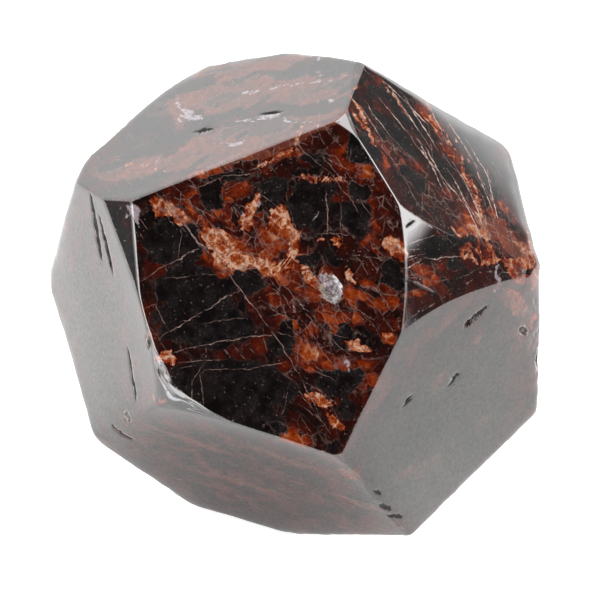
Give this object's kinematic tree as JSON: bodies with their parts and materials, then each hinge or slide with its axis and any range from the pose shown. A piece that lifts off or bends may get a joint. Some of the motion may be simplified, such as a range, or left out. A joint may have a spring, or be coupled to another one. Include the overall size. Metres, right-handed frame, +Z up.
{
  "type": "garnet crystal",
  "caption": "Palm-sized garnet crystal, a single stone ground and polished to broad flat facets with softly worn edges and small pits.",
  "frame": {"origin": "on the resting facet's plane, under the middle of the stone's footprint", "axes": "+Z up from the resting facet, -Y towards the side that the large front facet faces, +X to its right"},
  "size_m": [0.05, 0.0512, 0.0472],
  "materials": {
    "garnet": "polished dark red-brown garnet with black glassy windows, rust-red patches, pale healed cracks and a wet gloss"
  },
  "bodies": {
    "root": {"garnet_crystal": "garnet"}
  },
  "joints": []
}
